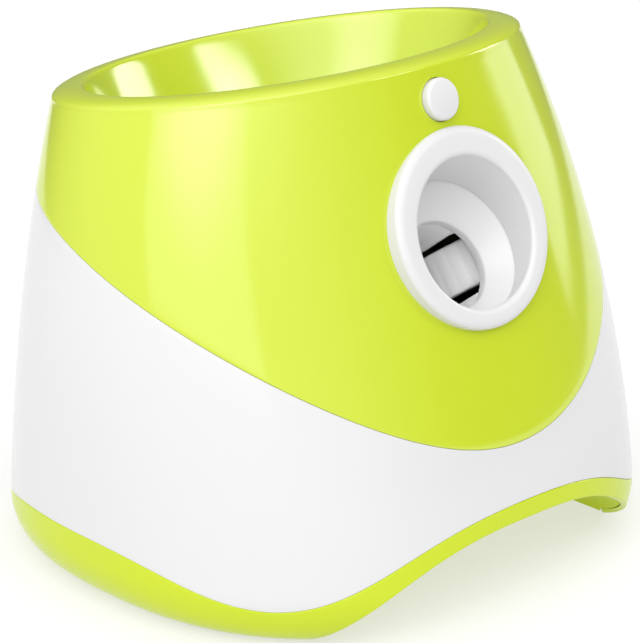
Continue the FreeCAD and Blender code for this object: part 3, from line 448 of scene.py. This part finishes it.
LIP_A = RING_P - RING_LIP_D
for k in range(10, -1, -1):
    q = math.radians(9.0 * k)
    rows.append(hrow(RING_RI + RING_LIP_W * (1 - math.cos(q)), LIP_A + RING_LIP_D * math.sin(q)))
cup_a, cup_b = hrow(RING_RI, LIP_A), lrow(32.1, -9.6, 3.9)
rows += [cup_a + (cup_b - cup_a) * k / 10 for k in range(1, 11)]
cup_c = hrow(36.0, RING_P - 2.6)
cup_d = lrow(34.5, -9.6, 3.9)
rows += [cup_d, cup_d + (cup_c - cup_d) * 0.75, rrow(38.0, -9.0)]
rings("outlet_bezel_ring", rows, BEZEL, "case", ["outlet_bezel"])

# ------------------------------------------------------------------ nozzle
rows = [lrow(34.4, -9.4, 3.9), lrow(32.6, -9.4, 3.9)]
A0, A1 = (32.2, -9.3), (21.6, -0.6)
for k in range(0, 15):
    f = k / 14.0
    r = A0[0] + (A1[0] - A0[0]) * f
    t = A0[1] + (A1[1] - A0[1]) * f
    rows.append(lrow(r, t, 3.9 * (-t / 9.4)))
rows += [lrow(21.1, -0.15, 0.05), lrow(20.9, 0.4, 0), lrow(20.9, 3.6, 0), lrow(21.3, 4.0, 0), lrow(25.6, 4.0, 0), lrow(25.6, 0.0, 0)]
rings("barrel_nozzle_mouth", rows, NOZZLE, "case", ["barrel_nozzle"])

# ------------------------------------------------------------------ push button
BN = np.array([0, -math.cos(BTN_P0), math.sin(BTN_P0)])
prof = [(0.0, BTN_TOP)]
for k in range(1, 9):
    r = (BTN_R - 2.0) * k / 8.0
    prof.append((r, BTN_TOP - 0.55 * (k / 8.0) ** 2))
z_e = prof[-1][1]
prof += [(BTN_R - 2.0 + 2.0 * math.sin(math.radians(9.0 * k)), BTN_EDGE - 0.6 + (z_e - BTN_EDGE + 0.6) * math.cos(math.radians(9.0 * k))) for k in range(1, 11)]
prof += [(BTN_R, -4.2), (BTN_R + 1.2, -4.2), (BTN_R + 1.2, -5.4), (5.6, -5.4), (5.6, -4.0), (2.4, -4.0), (2.4, -8.6), (0.0, -8.6)]
revolve("button_cap_dome", BTN_C, BN, prof, 96, BEZEL, "button", ["button_cap"])

# ------------------------------------------------------------------ launch wheel tyres
FLUTE, FLUTE_N = 0.2, 30
FA = np.linspace(0, 2 * pi, 720, endpoint=False)
for side, sx in (("left", -1), ("right", 1)):
    c = HOLE + XA * (sx * 47.0) - AX_OUT * 35.0
    z0, z1 = -10.0, 11.6
    prof = [(25.0, z0), (28.6, z0)]
    prof += arc(28.8, z0 + 1.2, 1.2, -90, 0, 5)
    prof += [(30.0, z0 + 1.2 + (z1 - z0 - 2.4) * k / 12) for k in range(1, 12)]
    prof += arc(28.8, z1 - 1.2, 1.2, 0, 90, 5)
    prof += [(28.6, z1), (25.0, z1)]
    rows = []
    for r, z in prof:
        # the tread has soft flutes along the wheel's axis
        f = FLUTE * np.sin(FLUTE_N / 2.0 * FA) ** 4 * np.clip((r - 28.6) / 1.4, 0, 1)
        rows.append(c + (XA * np.cos(FA)[:, None] + AX_OUT * np.sin(FA)[:, None]) * (r - f)[:, None] + AX_UP * z)
    rings("wheel_tyre_%s_tread" % side, rows, TREAD, "wheel_" + side, ["wheel_tyre_" + side])

# ------------------------------------------------------------------ floor, light, camera
def plane(name, x0, x1, y0, y1, z, mat):
    me = bpy.data.meshes.new(name)
    me.from_pydata([(x0, y0, z), (x1, y0, z), (x1, y1, z), (x0, y1, z)], [], [(0, 1, 2, 3)])
    ob = bpy.data.objects.new(name, me)
    bpy.context.scene.collection.objects.link(ob)
    me.materials.append(mat)
    return ob


FLOOR = plastic("floor_white", (0.34, 0.34, 0.34), 0.8)
fb = FLOOR.node_tree.nodes["Principled BSDF"]
fb.inputs["Specular IOR Level"].default_value = 0.2
fb.inputs["Emission Color"].default_value = (1, 1, 1, 1)
fb.inputs["Emission Strength"].default_value = 0.58
plane("floor", -6.0, 1.25, -6.0, 1.05, -0.0002, FLOOR)

world = bpy.data.worlds.new("studio")
bpy.context.scene.world = world
world.use_nodes = True
bg = world.node_tree.nodes["Background"]
bg.inputs["Color"].default_value = (1, 1, 1, 1)
# a studio with a soft light wall on the left, a soft light ceiling and an even fill
wt = world.node_tree
wd = wt.nodes.new("ShaderNodeTexCoord")


def toward(az, el):
    """Azimuth 0 is in front of the object, 90 on its right."""
    a, e = math.radians(az), math.radians(el)
    return (math.sin(a) * math.cos(e), -math.cos(a) * math.cos(e), math.sin(e))


def lobe(v, lo_c, hi_c, level):
    """A soft patch of light on the studio's walls round the direction v."""
    dt = wt.nodes.new("ShaderNodeVectorMath")
    dt.operation = "DOT_PRODUCT"
    dt.inputs[1].default_value = v
    wt.links.new(wd.outputs["Generated"], dt.inputs[0])
    mr = wt.nodes.new("ShaderNodeMapRange")
    mr.interpolation_type = "SMOOTHSTEP"
    mr.inputs["From Min"].default_value, mr.inputs["From Max"].default_value = lo_c, hi_c
    mr.inputs["To Min"].default_value, mr.inputs["To Max"].default_value = 0.0, level
    wt.links.new(dt.outputs["Value"], mr.inputs["Value"])
    return mr.outputs["Result"]


def add_level(x, y):
    m = wt.nodes.new("ShaderNodeMath")
    m.operation = "ADD"
    for i, q in enumerate((x, y)):
        if isinstance(q, float):
            m.inputs[i].default_value = q
        else:
            wt.links.new(q, m.inputs[i])
    return m.outputs[0]


level = add_level(lobe(toward(-82, 28), -0.4, 0.75, 0.76), 0.25)
level = add_level(level, lobe((0, 0.1, 0.99), 0.35, 0.98, 0.52))
level = add_level(level, lobe(toward(-65, 42), 0.88, 1.0, 1.75))
level = add_level(level, lobe(toward(-32, 56), 0.78, 1.0, 0.95))
wt.links.new(level, bg.inputs["Strength"])


def softbox(name, az, el, dist, w, h, radiance, aim=(0, 0, 0.12)):
    d = Vector(toward(az, el))
    li = bpy.data.lights.new(name, "AREA")
    li.shape, li.size, li.size_y = "RECTANGLE", w, h
    li.energy = radiance * pi * w * h
    ob = bpy.data.objects.new(name, li)
    bpy.context.scene.collection.objects.link(ob)
    ob.location = Vector(aim) + d * dist
    ob.rotation_mode = "QUATERNION"
    ob.rotation_quaternion = d.to_track_quat("Z", "Y")
    return ob


softbox("key_left", -64.5, 20, 2.2, 2.0, 1.18, 0.8)
softbox("strip_right", 81, 4, 1.9, 0.68, 0.33, 1.4)
softbox("strip_right_high", 78, 17.5, 1.9, 0.64, 0.56, 5.2)
softbox("front_right", 34, 36, 2.2, 0.7, 0.28, 6.8)

cam_d = bpy.data.cameras.new("camera")
cam = bpy.data.objects.new("camera", cam_d)
bpy.context.scene.collection.objects.link(cam)
cam.location = Vector((-0.93347, -0.96891, 0.60046))
cam.rotation_mode = "QUATERNION"
cam.rotation_quaternion = (cam.location - Vector((-0.00295, -0.00172, 0.09811))).to_track_quat("Z", "Y")
cam_d.sensor_width = 36.0
cam_d.lens = 176.41
cam_d.clip_start, cam_d.clip_end = 0.05, 60.0
bpy.context.scene.camera = cam
vs = bpy.context.scene.view_settings
vs.view_transform = "Standard"
vs.look = "None"
